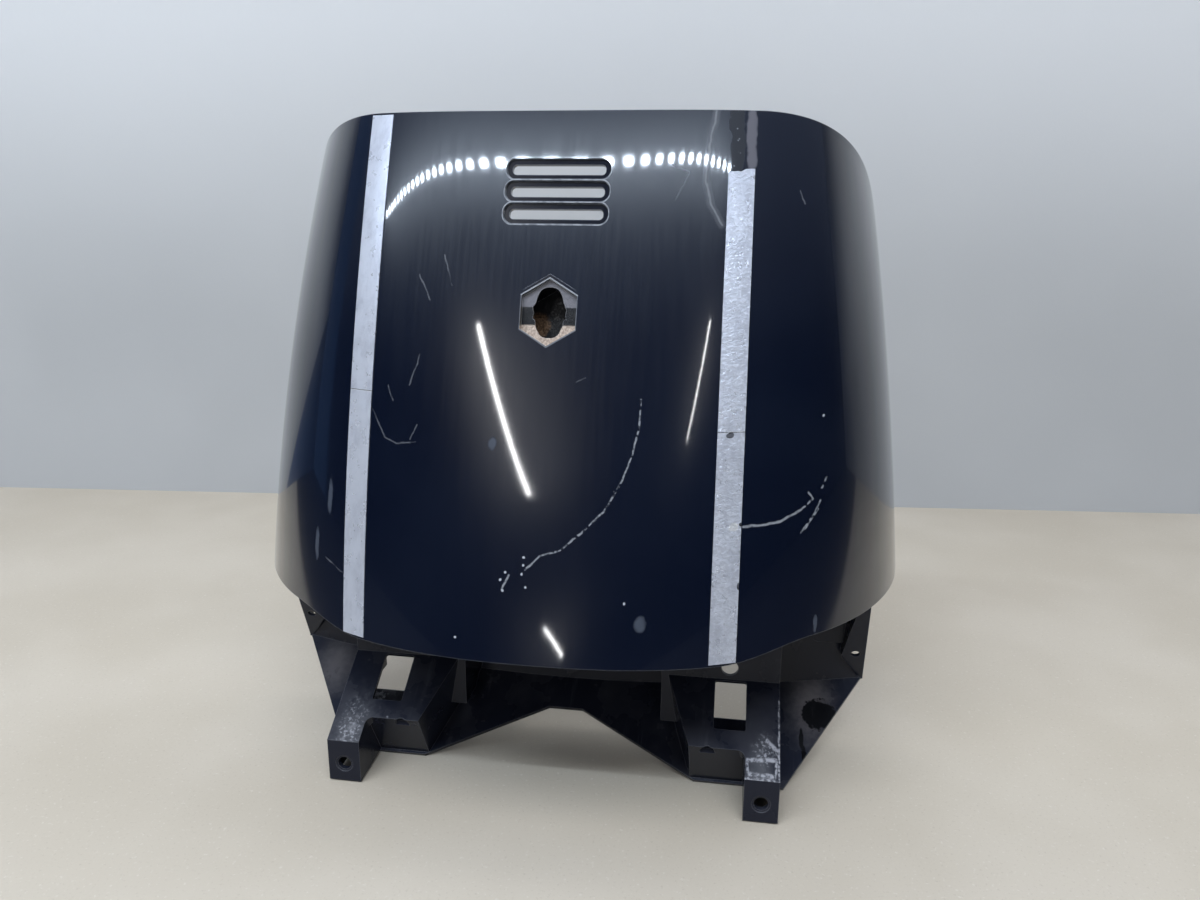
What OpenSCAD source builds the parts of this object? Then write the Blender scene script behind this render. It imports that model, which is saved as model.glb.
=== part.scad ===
// Front shield of a motor scooter, one injection moulding, with hand-laid stripes of silver tape.
// The frame is the upright stand of the part: +X right as seen from the front, -Y forward, +Z up.
// The origin lies midway between the two arm screws, in the plane of their sunk seats.

/* [Shield] */
// Height of the free lower lip above the arm screws
lip_z = 107; // [95:1:120]
// Height of the shield from its lip to its top edge
shield_h = 303; // [270:1:330]
// Wall thickness of the shield
wall = 3; // [2.4:0.1:4]
// Depth of the front line at the lip
front_low = -46.5; // [-56:0.5:-38]
// Depth of the front line at mid height
front_mid = 1.5; // [-5:0.5:8]
// Depth of the front line at the top edge
front_top = 63.7; // [55:0.5:72]
// Half width to which the sides close at the lip
half_low = 227.4; // [222:0.2:234]
// Half width to which the sides close at mid height
half_mid = 212.1; // [206:0.2:220]
// Half width to which the sides close at the top edge
half_top = 190.7; // [184:0.2:198]
// Depth of the side curve at the lip
side_low = 195.2; // [185:0.2:205]
// Depth of the side curve at the top edge
side_top = 153.9; // [146:0.2:162]
// Squareness of the section at the lip
square_low = 2.39; // [2.2:0.01:2.6]
// Squareness of the section at the top edge
square_top = 4.37; // [4:0.01:4.8]
// Depth of the rear edge at the lip
rear_low = 121; // [117:1:128]
// Depth of the rear edge at the top edge
rear_top = 162; // [150:1:170]
// Drop of the rounded upper rear corners
corner_drop = 58; // [40:1:70]
// Rise of the lip towards the sides
lip_rise = 8; // [4:0.5:10]
// Radius of the lower rear corners
lip_corner = 10; // [6:1:14]

/* [Vents and badge seat] */
// Tilt of the moulding direction, in which the vents and the seat are cored
draw_tilt = 15; // [10:1:20]
// Number of vent slots
slot_count = 3; // [1:1:3]
// Height of the middle vent slot
slot_z = 364; // [350:1:370]
// Distance from slot to slot along the face
slot_pitch = 13.5; // [13:0.1:15]
// Length of a slot's sunk surround
slot_len = 62; // [50:1:76]
// Height of a slot's sunk surround
slot_high = 12.4; // [11:0.1:12.8]
// Depth of a slot's sunk surround
slot_sink = 2.6; // [1.5:0.1:3]
// Ledge left round a slot's opening
slot_ledge = 3.2; // [2:0.1:3.6]
// Height of the badge seat's centre
seat_z = 296.7; // [285:0.5:302]
// Width of the hexagonal badge seat across its upright sides
seat_w = 32.3; // [28:0.1:38]
// Height of the badge seat from point to point
seat_h = 39; // [34:0.5:44]
// Depth of the badge seat
seat_depth = 4; // [3:0.5:6]
// Width of the broken-out hole in the seat's floor
hole_w = 17; // [12:0.5:20]
// Height of the broken-out hole in the seat's floor
hole_h = 30; // [24:0.5:31]
// Depth of the closed cup behind the seat
cup_depth = 26; // [18:1:34]

/* [Carrier] */
// Wall thickness of the carrier below the shield
rib = 2.5; // [2:0.1:3]
// Slope of the apron and of the console tops
slope = 33.5; // [32:0.5:35]
// Depth of the apron's low front edge
apron_y = 33.5; // [31:0.5:36]
// Height of the apron's low front edge
apron_z = -10.8; // [-13:0.2:-9]
// Half width of the notch at its crest
crest_half = 11.8; // [8:0.2:16]
// Depth of the notch up the apron
crest_rise = 43; // [36:1:48]
// Half width of the apron between the consoles, at its low edge
apron_half = 92.7; // [88:0.1:96]
// Half width at which the outer webs leave the arms
web_low_half = 151; // [149:0.5:156]
// Half width of the web corners
web_half = 206.5; // [202:0.5:207]
// Depth of the back wall at its middle
back_y = 89; // [86:0.5:92]
// How far the back wall bows back at the web corners
back_bow = 15.5; // [12:0.5:18]
// Depth to which the floor of the consoles reaches
floor_y = 71; // [66:0.5:80]
// Height of the shelf that closes the carrier against the shield
shelf_z = 127; // [122:0.5:136]
// Depth of the folded edge under the apron and the webs
fold = 3.2; // [2.8:0.1:6]
// Thickness of the folded edge
fold_t = 2; // [1.5:0.1:2.5]
// Width of the raised pad on each outer back wall
pad_w = 24; // [18:0.5:28]
// Height of the raised pad on each outer back wall
pad_h = 16; // [12:0.5:20]
// Proud height of the raised pad
pad_t = 1.5; // [1:0.1:2]
// Height of the gussets on top of the shelf
gusset_high = 46; // [30:1:70]
// Width of the return flange along the rear edges of the shield
return_w = 8; // [5:0.5:12]

/* [Consoles and arms] */
// Distance between the arm screws
screw_pitch = 270.4; // [266:0.2:274]
// Diameter of the arm screw holes
screw_d = 9; // [6:0.5:11]
// Diameter of the sunk seat round the arm screw holes
ring_d = 11.6; // [11.2:0.1:14]
// Depth of the sunk seat round the arm screw holes
ring_sink = 0.6; // [0.4:0.1:1.5]
// Width of an arm
arm_w = 21.6; // [19:0.1:24]
// Height of the arm's front face above the screw
arm_up = 17; // [15:0.5:19]
// Height of the arm's front face below the screw
arm_down = 12.5; // [9:0.5:13]
// Thickness of the arm's front face under the screw
arm_face = 3.5; // [2.5:0.1:5]
// Depth of the console's front edge
knee_y = 14.5; // [12:0.5:17]
// Radius between the console's front edge and the arm
knee_r = 5; // [2:0.5:7]
// Half width of the consoles' inner sides at the knee
flare_half = 89; // [86:0.5:92]
// Angle in plan of the consoles' inner sides
flare_turn = 16; // [10:0.5:22]
// Draft of the consoles' inner sides
flare_draft = 10; // [4:0.5:14]
// Half width of the tower behind the window
tower_half = 68; // [64:0.5:74]
// Depth of the tower's front wall
tower_y = 54.8; // [54.2:0.1:58]
// Half width of the window's inner side
window_in = 104; // [100:0.5:106]
// Width of a window
window_w = 20.4; // [17:0.1:21]
// Depth at which a window starts
window_y = 25.3; // [24:0.1:29]
// Length of a window along the slope
window_len = 34; // [28:0.5:34.5]
// Corner radius of a window
window_r = 1.5; // [0.5:0.1:3]
// Diameter of the hole at the console's front edge
knee_hole_d = 9.6; // [7:0.2:11]
// Half width of the hole at the console's front edge
knee_hole_half = 100.8; // [98:0.2:105]
// Diameter of the round hole above a window
tower_hole_d = 11; // [8:0.5:12]
// Half width of the round hole above a window
tower_hole_half = 113; // [108:0.5:118]
// Height of the round hole above a window
tower_hole_z = 61.5; // [60.5:0.1:70]

/* [Rear flanges] */
// Forward lean of the flange tabs
tab_lean = 24.5; // [20:0.5:30]
// Distance of the flange holes in from the web corners
flange_in = 7.8; // [6.8:0.1:9]
// Distance of the flange holes up the tabs
flange_up = 24.7; // [20:0.1:30]
// Diameter of the flange holes
flange_d = 6; // [4:0.2:7]

/* [Tape] */
// Width of the silver tape
tape_w = 15; // [10:0.5:20]
// Thickness of the tape with its adhesive
tape_t = 0.4; // [0.3:0.05:0.8]
// Half width of the left stripe's middle at the lip
left_low = 109.9; // [104:0.1:116]
// Half width of the left stripe's middle at the top edge
left_top = 113.7; // [104:0.1:118]
// Half width of the right stripe's middle at the lip
right_low = 107.1; // [100:0.1:112]
// Half width of the right stripe's middle at the top edge
right_top = 105.5; // [98:0.1:110]
// Height of the lap in the left stripe
left_lap = 249; // [200:1:300]
// Height of the lap in the right stripe
right_lap = 234; // [200:1:300]
// Height at which the right stripe is torn off
right_torn = 376; // [330:1:385]

/* [Hidden] */

// Fineness of circles, of the shield's grid and of the tape
$fn = 48;
cols = 14;
rows = 11;
tape_rows = 14;
// Small overlap of pieces that are fused, and overshoot of cuts
eps = 0.05;
over = 20;

// The section of the shield at a height z: a superellipse that closes at half_w(z), bowed from lip to top
function mix(a, b, k) = a + (b - a) * k;
function bow(low, mid, top, v) = low * (1 - v) * (1 - 2 * v) + 4 * mid * v * (1 - v) + top * v * (2 * v - 1);
function level(z) = (z - lip_z) / shield_h;
function front_y(z) = bow(front_low, front_mid, front_top, level(z));
function half_w(z) = bow(half_low, half_mid, half_top, level(z));
function side_d(z) = mix(side_low, side_top, level(z));
function square(z) = mix(square_low, square_top, level(z));
function rear_y(z) = mix(rear_low, rear_top, level(z));
function sweep(z) = acos(1 - (rear_y(z) - front_y(z)) / side_d(z));
function section(u, z) =
    let (t = sweep(z) * pow(abs(u), 1.6))
    [sign(u) * half_w(z) * pow(sin(t), 2 / square(z)), front_y(z) + side_d(z) * (1 - cos(t)), z];
function surface_y(x, z) =
    front_y(z) + side_d(z) * (1 - sqrt(1 - pow(min(abs(x) / half_w(z), 1), square(z))));

// Lower and upper edges of the shield: u runs from -1 at the left rear edge to 1 at the right one
function unit(a) = max(0, min(1, a));
function ease(a) = let (k = unit(a)) k * k * (3 - 2 * k);
function quarter(a) = 1 - sqrt(1 - pow(unit(a), 2));
lip_flat = 0.46;
lip_full = 0.64;
lip_turn = 0.93;
top_turn = 0.45;
function lip_at(u) = lip_z + lip_rise * ease((abs(u) - lip_flat) / (lip_full - lip_flat))
    + lip_corner * quarter((abs(u) - lip_turn) / (1 - lip_turn));
function rim_at(u) = lip_z + shield_h - corner_drop * quarter((abs(u) - top_turn) / (1 - top_turn));
function skin(u, v) = section(u, mix(lip_at(u), rim_at(u), v));
nudge = 0.004;
function unit_vector(a) = a / norm(a);
function outward(u, v) =
    let (du = skin(min(u + nudge, 1), v) - skin(max(u - nudge, -1), v),
         dv = skin(u, min(v + nudge, 1)) - skin(u, max(v - nudge, 0)))
    unit_vector(cross(du, dv));
function column(i) = sin(90 * (i - cols) / cols);

// A closed sheet between two equal grids of points, given as lists of rows
module sheet(front, back) {
    n = len(front);
    m = len(front[0]);
    function at(s, j, i) = s * n * m + j * m + i;
    flat = [for (s = [front, back]) for (row = s) for (p = row) p];
    front_faces = [for (j = [0 : n - 2]) for (i = [0 : m - 2]) for (k = [0, 1])
        k == 0 ? [at(0, j, i), at(0, j + 1, i), at(0, j + 1, i + 1)]
               : [at(0, j, i), at(0, j + 1, i + 1), at(0, j, i + 1)]];
    back_faces = [for (j = [0 : n - 2]) for (i = [0 : m - 2]) for (k = [0, 1])
        k == 0 ? [at(1, j, i), at(1, j + 1, i + 1), at(1, j + 1, i)]
               : [at(1, j, i), at(1, j, i + 1), at(1, j + 1, i + 1)]];
    low = [for (i = [0 : m - 2]) for (k = [0, 1])
        k == 0 ? [at(0, 0, i), at(0, 0, i + 1), at(1, 0, i + 1)] : [at(0, 0, i), at(1, 0, i + 1), at(1, 0, i)]];
    high = [for (i = [0 : m - 2]) for (k = [0, 1])
        k == 0 ? [at(0, n - 1, i), at(1, n - 1, i + 1), at(0, n - 1, i + 1)]
               : [at(0, n - 1, i), at(1, n - 1, i), at(1, n - 1, i + 1)]];
    left = [for (j = [0 : n - 2]) for (k = [0, 1])
        k == 0 ? [at(0, j, 0), at(1, j + 1, 0), at(0, j + 1, 0)] : [at(0, j, 0), at(1, j, 0), at(1, j + 1, 0)]];
    right = [for (j = [0 : n - 2]) for (k = [0, 1])
        k == 0 ? [at(0, j, m - 1), at(0, j + 1, m - 1), at(1, j + 1, m - 1)]
               : [at(0, j, m - 1), at(1, j + 1, m - 1), at(1, j, m - 1)]];
    polyhedron(flat, concat(front_faces, back_faces, low, high, left, right), convexity = 6);
}

module shield_wall() {
    us = [for (i = [0 : 2 * cols]) column(i)];
    vs = [for (j = [0 : rows]) j / rows];
    sheet([for (v = vs) [for (u = us) skin(u, v)]],
          [for (v = vs) [for (u = us) skin(u, v) - wall * outward(u, v)]]);
}

// Local frame on the shield's middle line at height z: z points out along the moulding direction
module on_face(z) {
    translate([0, front_y(z), z]) rotate([90 - draw_tilt, 0, 0]) children();
}

module rounded(w, h, r) {
    translate([r - w / 2, -h / 2]) square([w - 2 * r, h]);
    translate([-w / 2, r - h / 2]) square([w, h - 2 * r]);
    for (x = [-1, 1]) for (y = [-1, 1]) translate([x * (w / 2 - r), y * (h / 2 - r)]) circle(r);
}

// Vent slots: a sunk surround with round ends, and the opening inside its ledge
face_lean = atan((front_y(slot_z) - front_y(seat_z)) / (slot_z - seat_z));
slot_step = [for (k = [0 : slot_count - 1]) slot_z + (k - (slot_count - 1) / 2) * slot_pitch * cos(face_lean)];
slot_corner = 5.4;
opening_len = slot_len - 2 * slot_ledge;
opening_high = slot_high - 2 * slot_ledge;
slot_back = wall + 2.6;
pad_margin = 4;
module slot_pad() {
    for (z = slot_step) on_face(z) translate([0, 0, -slot_back])
        linear_extrude(slot_back - slot_sink + 1)
        rounded(slot_len + 2 * pad_margin, slot_high + 2 * pad_margin, slot_corner);
}
module slot_cuts() {
    for (z = slot_step) on_face(z) {
        translate([0, 0, -slot_sink]) linear_extrude(over) rounded(slot_len, slot_high, slot_corner);
        translate([0, 0, -over]) linear_extrude(2 * over) rounded(opening_len, opening_high, opening_high / 2 - eps);
    }
}

// Badge seat: a hexagonal pocket with a broken-out floor and a closed cup behind it
seat_side = seat_h / 4;
module hexagon(grow) {
    w = seat_w / 2 + grow;
    k = grow * tan(30);
    polygon([[0, seat_h / 2 + 2 * k], [w, seat_side + k], [w, -seat_side - k],
             [0, -seat_h / 2 - 2 * k], [-w, -seat_side - k], [-w, seat_side + k]]);
}
module seat_cup() {
    on_face(seat_z) translate([0, 0, -cup_depth]) linear_extrude(cup_depth - 1) hexagon(rib);
}
module seat_cuts() {
    on_face(seat_z) {
        translate([0, 0, -seat_depth]) linear_extrude(over) hexagon(0);
        translate([0, 0, -seat_depth - rib - eps]) linear_extrude(over) broken_hole();
        translate([0, 0, rib - cup_depth]) linear_extrude(cup_depth - seat_depth - 2 * rib) hexagon(-rib);
    }
}
// Chips along the sides of the broken-out hole, as [height, reach outward]
chips = [[6, 0.6], [2.5, 1.4], [-1, -1.2], [-4, 0.9], [-7, -0.8]];
module broken_hole() {
    straight = hole_h / 2 - hole_w / 2;
    for (y = [-straight, straight]) translate([0, y]) circle(hole_w / 2);
    polygon(concat([[hole_w / 2, -straight - 1]],
        [for (i = [len(chips) - 1 : -1 : 0]) [hole_w / 2 - chips[i][1], chips[i][0]]],
        [[hole_w / 2, straight], [-hole_w / 2, straight]],
        [for (c = chips) [-hole_w / 2 + c[1], c[0] - 1]],
        [[-hole_w / 2, -straight - 1]]));
}

// Local frame of a sloping plane through the depth y and height z: y runs up the slope, z out of it
module on_slope(y, z) {
    translate([0, y, z]) rotate([slope, 0, 0]) children();
}
// An outline drawn in depth and height, carried w along X from x
module along_x(x, w) {
    translate([x, 0, 0]) rotate([90, 0, 90]) linear_extrude(w) children();
}
module both_sides() {
    children();
    mirror([1, 0, 0]) children();
}
function up_slope(y) = (y - apron_y) / cos(slope);
function back_line(x) = back_y + back_bow * pow(x / web_half, 2);
back_steps = 7;
function back_points(t) =
    [for (k = [-back_steps : back_steps]) let (x = k * web_half / back_steps) [x, back_line(x) + t]];
function reversed(list) = [for (k = [len(list) - 1 : -1 : 0]) list[k]];
function ramp_z(y) = apron_z + (y - apron_y) * tan(slope);
function console_z(y) = arm_up + y * tan(slope);
arm_in = screw_pitch / 2 - arm_w / 2;
arm_out = screw_pitch / 2 + arm_w / 2;
corner_y = back_line(web_half);
foot_y = corner_y + over;

// Apron, console floors and outer webs: one sloping plate with a folded edge
ramp_foot = [for (p = back_points(rib / 2)) [p[0], up_slope(p[1])]];
edge = [ramp_foot[2 * back_steps], [web_low_half, 0], [apron_half, 0], [crest_half, crest_rise]];
module ramp() {
    on_slope(apron_y, apron_z) {
        translate([0, 0, -rib]) linear_extrude(rib)
            polygon(concat([for (k = [3 : -1 : 1]) [-edge[k][0], edge[k][1]]], ramp_foot, [for (k = [1 : 3]) edge[k]]));
        both_sides() {
            folded_edge(edge[0], edge[1]);
            folded_edge(edge[2], edge[3]);
        }
        translate([-crest_half - fold_t / 2, crest_rise, -fold]) cube([2 * crest_half + fold_t, fold_t, fold - rib / 2]);
    }
}
// A strip under the plate along its edge from a to b, on the side where the plate lies
module folded_edge(a, b) {
    n = fold_t * unit_vector([a[1] - b[1], b[0] - a[0]]);
    in = n[1] > 0 ? n : -n;
    translate([0, 0, -fold]) linear_extrude(fold - rib / 2) polygon([a, b, b + in, a + in]);
}

// Upright back wall, bowed in plan, from the ramp to the shelf, with a raised pad on each outer part
pad_x = 182;
pad_z = 71.5;
module back_wall() {
    intersection() {
        linear_extrude(shelf_z - eps) polygon(concat(back_points(0), reversed(back_points(rib))));
        along_x(-web_half - 1, 2 * web_half + 2)
            polygon([[back_y - rib, ramp_z(back_y - rib) - rib / 2], [foot_y, ramp_z(foot_y) - rib / 2],
                     [foot_y, shelf_z + rib], [back_y - rib, shelf_z + rib]]);
    }
    both_sides() translate([pad_x, back_line(pad_x) + rib / 2, pad_z]) rotate([90, 0, 0])
        linear_extrude(rib / 2 + pad_t) rounded(pad_w, pad_h, 3);
}

// All the room in front of the back wall's rear face
module ahead_of_back() {
    translate([0, 0, -over]) linear_extrude(shelf_z + over)
        polygon(concat([[web_half, -over], [-web_half, -over]], back_points(rib)));
}

// Shelf that joins the back wall to the shield, with upright gussets on top
shelf_reach = 0.93;
shelf_mid = shelf_z - rib / 2;
function plan_normal(u) =
    let (d = section(min(u + nudge, 1), shelf_mid) - section(max(u - nudge, -1), shelf_mid))
    unit_vector([-d[1], d[0]]);
module shelf() {
    front = [for (i = [0 : 2 * cols]) let (u = column(i) * shelf_reach, p = section(u, shelf_mid))
        [p[0], p[1]] + wall / 2 * plan_normal(u)];
    translate([0, 0, shelf_z - rib]) linear_extrude(rib) polygon(concat(front, reversed(back_points(rib / 2))));
}
gusset_half = [0, 55, 118];
module gussets() {
    for (x = gusset_half) {
        low = surface_y(x, shelf_z) + wall / 2;
        high = surface_y(x, shelf_z + gusset_high) + wall / 2;
        both_sides() along_x(x - rib / 2, rib)
            polygon([[low, shelf_z - rib / 2], [high, shelf_z + gusset_high], [back_y, shelf_z - rib / 2]]);
    }
}

// Return flange along each rear edge of the shield
module returns() {
    vs = [for (j = [0 : rows]) j / rows];
    both_sides() {
        inner = [for (v = vs) let (p = skin(1, v), n = outward(1, v)) [p - wall / 2 * n, p - (wall / 2 + return_w) * n]];
        sheet([for (row = inner) [row[1] - [0, rib, 0], row[0] - [0, rib, 0]]], [for (row = inner) [row[1], row[0]]]);
    }
}

// Cuts away what lies on the inner side of a console, t beyond its inner face
module flare_cut(t) {
    reach = 300;
    translate([flare_half, knee_y, console_z(knee_y)]) rotate([0, flare_draft, 180 + flare_turn])
        translate([-t, -reach, -reach]) cube([2 * reach, 2 * reach, 2 * reach]);
}
// Front face of a console: it rises from a ledge on the apron's edge to the knee
ledge = 0.5;
front_foot = [apron_y + ledge, ramp_z(apron_y + ledge)];
front_lean = atan((front_foot[0] - knee_y) / (console_z(knee_y) - front_foot[1]));
function front_at(z, t) = front_foot[0] - (z - front_foot[1]) * tan(front_lean) + t / cos(front_lean);
function top_at(y, t) = console_z(y) - t / cos(slope);
function front_top_y(t) = (front_at(0, t) - (arm_up - t / cos(slope)) * tan(front_lean)) / (1 + tan(slope) * tan(front_lean));
// Side outline of a console: sloping top, front face down to the apron, cut off at the rear
console_end = tower_y + rib + 1;
module console_outline() {
    y = front_top_y(0);
    low = ramp_z(apron_y + rib) - rib / 2;
    polygon([[y, top_at(y, 0)], [console_end, top_at(console_end, 0)], [foot_y, top_at(console_end, 0)],
             [foot_y, ramp_z(foot_y) - rib / 2], [front_at(low, rib / 2), low]]);
}
// Side outline of its hollow, which opens to the rear and, from floor_y on, downwards
module hollow_outline() {
    y = front_top_y(rib);
    low = front_at(ramp_z(apron_y + rib), rib);
    step = 0.3;
    polygon([[y, top_at(y, rib)], [console_end, top_at(console_end, rib)], [foot_y, top_at(console_end, rib)],
             [foot_y, ramp_z(floor_y) - over], [floor_y, ramp_z(floor_y) - over],
             [floor_y, ramp_z(floor_y) + step], [low, ramp_z(low) + step]]);
}
module console_block() {
    difference() {
        along_x(tower_half - over, arm_out - tower_half + over) console_outline();
        flare_cut(0);
    }
}
module console_hollow() {
    difference() {
        along_x(tower_half - over, arm_out - rib - tower_half + over) hollow_outline();
        flare_cut(rib);
    }
}
// Tower behind each window, up to the shelf
tower_foot = ramp_z(tower_y) + 6 * rib;
module tower_block(t, rear, top) {
    translate([tower_half + t, tower_y + t, tower_foot])
        cube([arm_out - tower_half - 2 * t, rear - tower_y - t, top - tower_foot]);
}
// Arm in front of each console: an open-bottomed box with a screw hole in its front face
module arm_block() {
    y = front_top_y(0);
    low = 2 - arm_down;
    along_x(arm_in, arm_w)
        polygon([[-ring_sink, -arm_down], [-ring_sink, top_at(-ring_sink, 0)], [y, top_at(y, 0)],
                 [y + 2 * rib, top_at(y, rib)], [front_at(low, rib / 2), low]]);
    // Rounded corner between the console's front edge and the arm
    on_slope(0, arm_up) translate([arm_in, front_top_y(0) / cos(slope), -3 * rib]) linear_extrude(3 * rib) difference() {
        translate([-knee_r, -knee_r]) square([knee_r + rib / 2, knee_r + rib / 2]);
        translate([-knee_r, -knee_r]) circle(knee_r);
    }
}
module arm_hollow() {
    z = top_at(front_top_y(0) - rib, rib);
    low = -arm_down - over;
    along_x(arm_in + rib, arm_w - 2 * rib)
        polygon([[arm_face, low], [arm_face, top_at(arm_face, rib)], [front_at(z, -ledge), z], [front_at(low, -ledge), low]]);
}
module console_hollows() {
    console_hollow();
    tower_block(rib, foot_y, shelf_z - rib);
    arm_hollow();
}
knee_hole_drop = 4.3;
module console_holes() {
    // Window in the sloping top
    on_slope(0, arm_up) translate([window_in + window_w / 2, window_y / cos(slope) + window_len / 2, -rib - 1])
        linear_extrude(rib + over) rounded(window_w, window_len, window_r);
    // Hole that breaks into the front edge
    translate([knee_hole_half, front_top_y(0), console_z(front_top_y(0)) - knee_hole_drop])
        rotate([90 - draw_tilt, 0, 0]) cylinder(d = knee_hole_d, h = 3 * rib, center = true);
    // Round hole in the tower's front wall
    translate([tower_hole_half, tower_y - 1, tower_hole_z]) rotate([-90, 0, 0]) cylinder(d = tower_hole_d, h = rib + 2);
    // Screw hole with its sunk seat
    translate([screw_pitch / 2, 0, 0]) rotate([90, 0, 0]) {
        cylinder(d = screw_d, h = 3 * arm_face, center = true);
        cylinder(d = ring_d, h = over);
    }
}

// Flange tab at each rear corner, a shallow box open to the rear with a screw hole
// Its outline, as [distance in from the web corner, distance up the tab]
tab_outline = [[3, -1], [0, -1], [3.4, 72], [7, 101], [9.5, 101], [11.5, 64], [14.5, 44], [17, 21]];
tab_edge = [for (p = tab_outline) [web_half - p[0], p[1]]];
tab_hollow_top = 88;
module on_tab() {
    translate([0, corner_y, ramp_z(corner_y)]) rotate([90 + tab_lean, 0, 0]) children();
}
module tab_block() {
    intersection() {
        on_tab() translate([0, 0, -3 * over]) linear_extrude(3 * over) polygon(tab_edge);
        cube([web_half, corner_y + rib / 2, shelf_z - eps]);
    }
}
module tab_cavity() {
    on_tab() translate([0, 0, -rib - 3 * over]) linear_extrude(3 * over) intersection() {
        offset(delta = -rib) polygon(tab_edge);
        square([web_half, tab_hollow_top]);
    }
}
module tab_hole() {
    on_tab() translate([web_half - flange_in, flange_up, 0]) cylinder(d = flange_d, h = 3 * rib, center = true);
}

module fairing() {
    color("#0b0e16") {
        difference() {
            union() {
                shield_wall();
                slot_pad();
                seat_cup();
            }
            slot_cuts();
            seat_cuts();
        }
        difference() {
            union() {
                ramp();
                back_wall();
                shelf();
                both_sides() {
                    intersection() {
                        union() {
                            console_block();
                            tower_block(0, foot_y, shelf_z - eps);
                        }
                        ahead_of_back();
                    }
                    arm_block();
                    tab_block();
                }
            }
            both_sides() {
                console_hollows();
                console_holes();
                tab_cavity();
                tab_hole();
            }
        }
        gussets();
        returns();
    }
}

// Silver tape laid on the shield between two heights, along a line that runs between two half widths
tape_gap = 0.15;
module stripe(low, high, from, to) {
    function mid_x(z) = mix(low, high, level(z));
    function tape_point(z, k, lift) =
        let (x = mid_x(z) + k * tape_w / 2,
             p = [x, surface_y(x, z), z],
             dx = [0.2, surface_y(x + 0.1, z) - surface_y(x - 0.1, z), 0],
             dz = [0, surface_y(x, z + 0.1) - surface_y(x, z - 0.1), 0.2])
        p + lift * unit_vector(cross(dx, dz));
    zs = [for (j = [0 : tape_rows]) mix(from, to, j / tape_rows)];
    color("silver") sheet([for (z = zs) [for (k = [-1, 0, 1]) tape_point(z, k, tape_gap + tape_t)]],
                          [for (z = zs) [for (k = [-1, 0, 1]) tape_point(z, k, tape_gap)]]);
}
lap = 0.3;
top_margin = 1.5;
module left_stripe_upper() stripe(-left_low, -left_top, left_lap + lap, lip_z + shield_h - top_margin);
module left_stripe_lower() stripe(-left_low, -left_top, lip_z + top_margin, left_lap);
module right_stripe_upper() stripe(right_low, right_top, right_lap + lap, right_torn);
module right_stripe_lower() stripe(right_low, right_top, lip_z + top_margin, right_lap);

fairing();
left_stripe_upper();
left_stripe_lower();
right_stripe_upper();
right_stripe_lower();
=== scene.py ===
import math
import random

import bmesh
import bpy
from mathutils import Matrix, Vector


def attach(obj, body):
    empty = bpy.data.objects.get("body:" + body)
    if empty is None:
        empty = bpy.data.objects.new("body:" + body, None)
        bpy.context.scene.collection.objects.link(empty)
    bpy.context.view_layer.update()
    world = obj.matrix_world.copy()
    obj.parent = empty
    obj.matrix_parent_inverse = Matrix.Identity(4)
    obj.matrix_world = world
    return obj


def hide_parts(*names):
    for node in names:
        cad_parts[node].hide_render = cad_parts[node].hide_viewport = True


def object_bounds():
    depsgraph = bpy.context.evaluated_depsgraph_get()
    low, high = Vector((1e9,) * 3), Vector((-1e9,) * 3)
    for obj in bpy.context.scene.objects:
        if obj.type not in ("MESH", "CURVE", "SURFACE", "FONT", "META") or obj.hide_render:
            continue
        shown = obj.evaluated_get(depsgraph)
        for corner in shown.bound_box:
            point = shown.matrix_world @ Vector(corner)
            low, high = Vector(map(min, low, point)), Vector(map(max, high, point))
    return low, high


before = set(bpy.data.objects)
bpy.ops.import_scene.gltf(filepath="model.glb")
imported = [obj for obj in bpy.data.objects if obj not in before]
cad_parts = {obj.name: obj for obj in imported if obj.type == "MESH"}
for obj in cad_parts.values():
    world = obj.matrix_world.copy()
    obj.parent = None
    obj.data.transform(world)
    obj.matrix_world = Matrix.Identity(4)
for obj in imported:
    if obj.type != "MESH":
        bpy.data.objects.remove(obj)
cad_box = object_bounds()
scene = bpy.context.scene
scene.view_settings.view_transform = "Standard"


# Shield face: the tall bowed front of the fairing. It is a superellipse in plan at every height, wide
# and deep at the lip and flatter at the top. The shell, the tape and the scratches all lie on it.
MM = 0.001
lip_z = 107
shield_h = 303
wall = 3
front_bow = (-46.5, 1.5, 63.7)
width_bow = (227.4, 212.1, 190.7)
lip_depth, top_depth = 195.2, 153.9
lip_square, top_square = 2.39, 4.37
lip_rear, top_rear = 121, 162
corner_drop = 58


def bow(low, mid, top, v):
    return low * (1 - v) * (1 - 2 * v) + 4 * mid * v * (1 - v) + top * v * (2 * v - 1)


def level(z):
    return (z - lip_z) / shield_h


def front_y(z):
    return bow(*front_bow, level(z))


def half_w(z):
    return bow(*width_bow, level(z))


def side_d(z):
    return lip_depth + (top_depth - lip_depth) * level(z)


def square(z):
    return lip_square + (top_square - lip_square) * level(z)


def face_y(x, z):
    reach = min(abs(x) / half_w(z), 0.9999)
    return front_y(z) + side_d(z) * (1 - math.sqrt(1 - reach ** square(z)))


def face_normal(x, z):
    dx = (face_y(x + 0.1, z) - face_y(x - 0.1, z)) / 0.2
    dz = (face_y(x, z + 0.1) - face_y(x, z - 0.1)) / 0.2
    return Vector((dx, -1, dz)).normalized()


def on_face(x, z, lift=0.0):
    return Vector((x, face_y(x, z), z)) + face_normal(x, z) * lift


def clamp(a):
    return max(0.0, min(1.0, a))


def ease(a):
    a = clamp(a)
    return a * a * (3 - 2 * a)


def quarter(a):
    return 1 - math.sqrt(1 - clamp(a) ** 2)


def lip_at(u):
    return lip_z + 8 * ease((abs(u) - 0.46) / 0.18) + 10 * quarter((abs(u) - 0.93) / 0.07)


def rim_at(u):
    return lip_z + shield_h - corner_drop * quarter((abs(u) - 0.45) / 0.55)


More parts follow.
